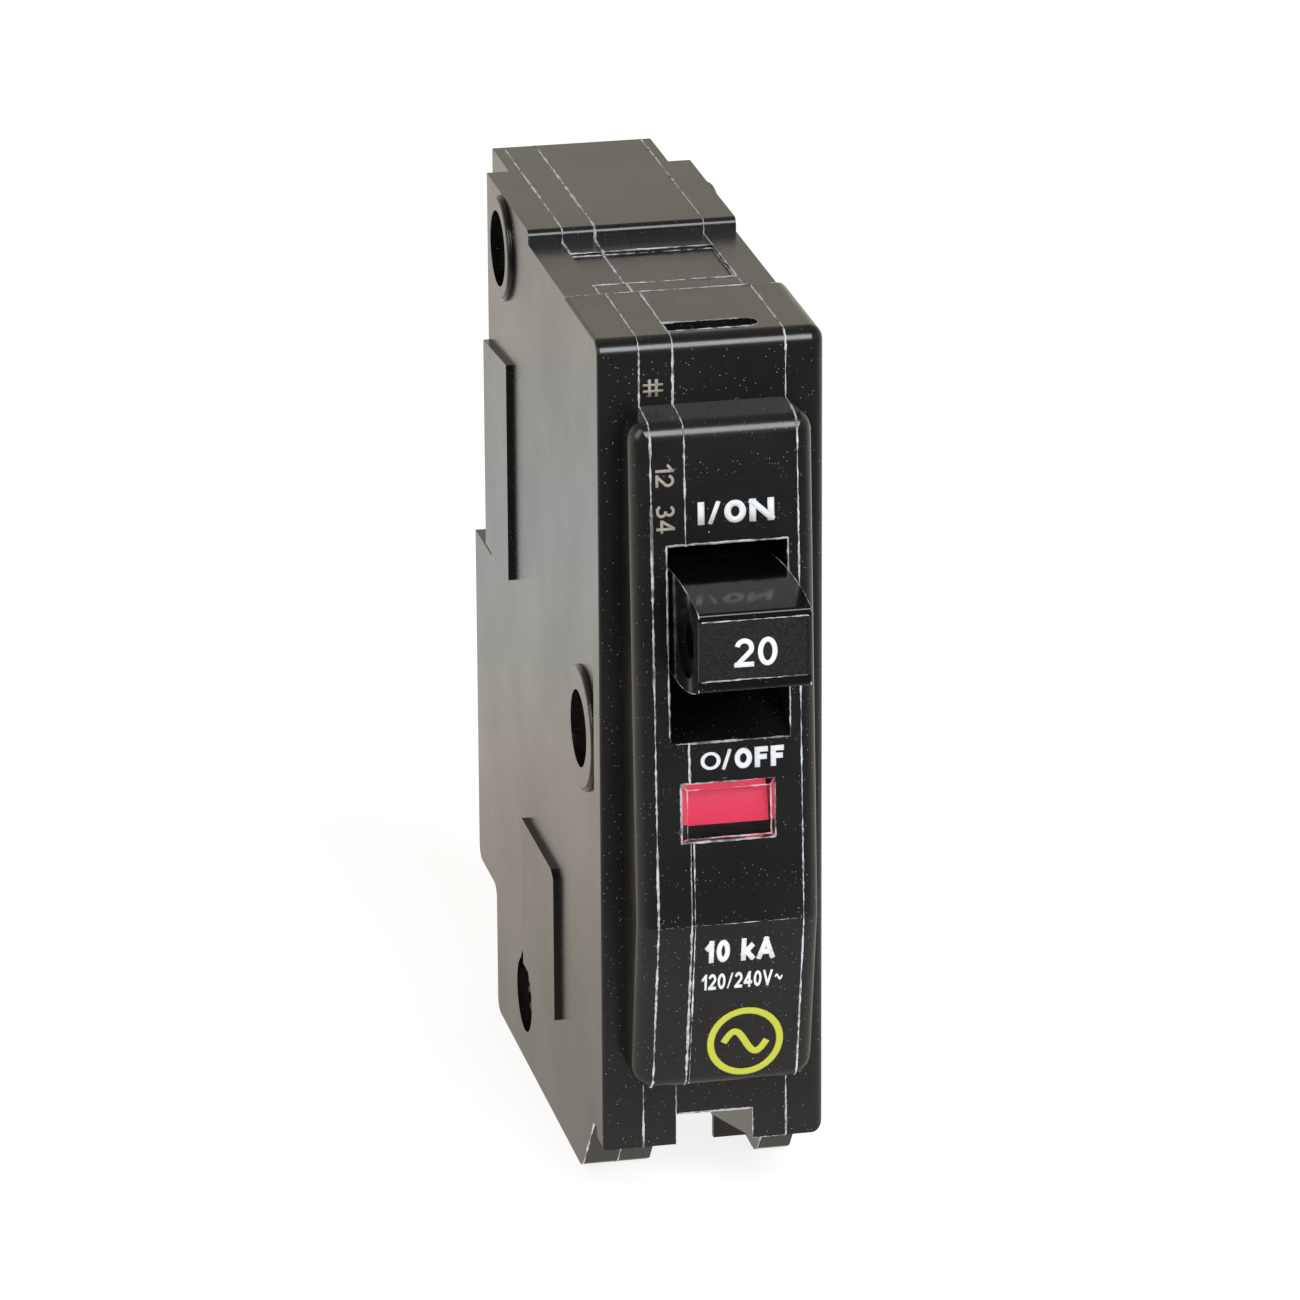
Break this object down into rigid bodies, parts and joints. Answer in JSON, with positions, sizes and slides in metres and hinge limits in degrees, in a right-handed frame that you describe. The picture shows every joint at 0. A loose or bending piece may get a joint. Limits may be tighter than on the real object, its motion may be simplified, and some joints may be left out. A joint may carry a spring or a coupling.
{
  "type": "plug-on miniature circuit breaker",
  "caption": "Narrow black plug-on circuit breaker with a toggle handle, a trip flag behind a clear window, a screw wire terminal and a spring jaw for a bus stab.",
  "frame": {"origin": "where the axis of the wire terminal's screw crosses the plane of the front shoulder, at mid width", "axes": "+X across the case, to the right seen from the handle; +Y from the handle towards the panel; +Z from the wire end to the line end, as the handle moves to ON"},
  "size_m": [0.019, 0.0728, 0.0778],
  "materials": {
    "case_black": "moulded phenolic, gloss",
    "handle_black": "moulded, gloss with a fine-grained front",
    "lens_clear": "clear moulded",
    "flag_red": "moulded red",
    "rivet_steel": "dark plated",
    "plain_steel": "stamped",
    "spring_steel": "drawn wire",
    "zinc_steel": "zinc plated",
    "bimetal_steel": "rolled strip",
    "copper": "stamped copper",
    "silver": "silver alloy",
    "ink_white": "stamped foil",
    "ink_yellow": "stamped foil",
    "ink_grey": "printed",
    "flash_pale": "broken moulding edge",
    "fibre": "vulcanised fibre"
  },
  "bodies": {
    "case": {"left_cover": "case_black", "case_spacer": "case_black", "main_case": "case_black", "right_cover": "case_black", "case_rivets": "rivet_steel", "window_lens": "lens_clear", "stationary_contact": "silver", "line_strap": "copper", "line_jaw": "copper", "jaw_spring": "spring_steel", "arc_plates": "plain_steel", "arc_walls": "fibre", "bimetal": "bimetal_steel", "magnet_yoke": "plain_steel", "armature_pin": "plain_steel", "armature_spring": "spring_steel", "calibration_screw": "zinc_steel", "load_strap": "copper", "braid": "copper", "terminal_plate": "copper"},
    "handle": {"handle": "handle_black", "arm_pin": "plain_steel"},
    "contact_arm": {"contact_arm": "copper", "moving_contact": "silver", "toggle_spring": "spring_steel"},
    "trip_lever": {"trip_lever": "plain_steel"},
    "trip_flag": {"trip_flag": "flag_red"},
    "armature": {"armature": "plain_steel"},
    "wire_clamp": {"wire_clamp": "zinc_steel"},
    "terminal_screw": {"terminal_screw": "zinc_steel"}
  },
  "joints": [
    {"name": "handle_swing", "type": "hinge", "parent": "case", "child": "handle", "pos_m": [0, 0.006, 0.048], "axis": [-1, 0, 0], "range_deg": [-25, 9]},
    {"name": "contact_arm_swing", "type": "hinge", "parent": "handle", "child": "contact_arm", "pos_m": [0, 0.0125, 0.047], "axis": [1, 0, 0], "range_deg": [-55.2, 20], "deforming": ["toggle_spring", "braid"]},
    {"name": "trip_lever_swing", "type": "hinge", "parent": "case", "child": "trip_lever", "pos_m": [0, 0.024, 0.06], "axis": [1, 0, 0], "range_deg": [0, 14], "stiffness_Nm_per_rad": 0.01, "springref_deg": -5.73},
    {"name": "trip_flag_swing", "type": "hinge", "parent": "case", "child": "trip_flag", "pos_m": [0, 0.0038, 0.0295], "axis": [1, 0, 0], "range_deg": [0, 50.2]},
    {"name": "armature_swing", "type": "hinge", "parent": "case", "child": "armature", "pos_m": [0, 0.0365, 0.021], "axis": [1, 0, 0], "range_deg": [0, 2.6], "stiffness_Nm_per_rad": 0.01, "springref_deg": -5.73, "deforming": ["armature_spring"]},
    {"name": "wire_clamp_slide", "type": "slide", "parent": "case", "child": "wire_clamp", "axis": [0, 1, 0], "range_m": [0, 0.00397]},
    {"name": "terminal_screw_turn", "type": "hinge", "parent": "wire_clamp", "child": "terminal_screw", "pos_m": [0, 0.0206, 0], "axis": [0, 1, 0], "range_deg": [0, 1800]}
  ],
  "couplings": [
    {"joint": "contact_arm_swing", "follows": "handle_swing", "ratio": 2.2},
    {"joint": "trip_flag_swing", "follows": "trip_lever_swing", "ratio": 3.5714},
    {"joint": "terminal_screw_turn", "follows": "wire_clamp_slide", "rad_per_m": 7915.8}
  ]
}
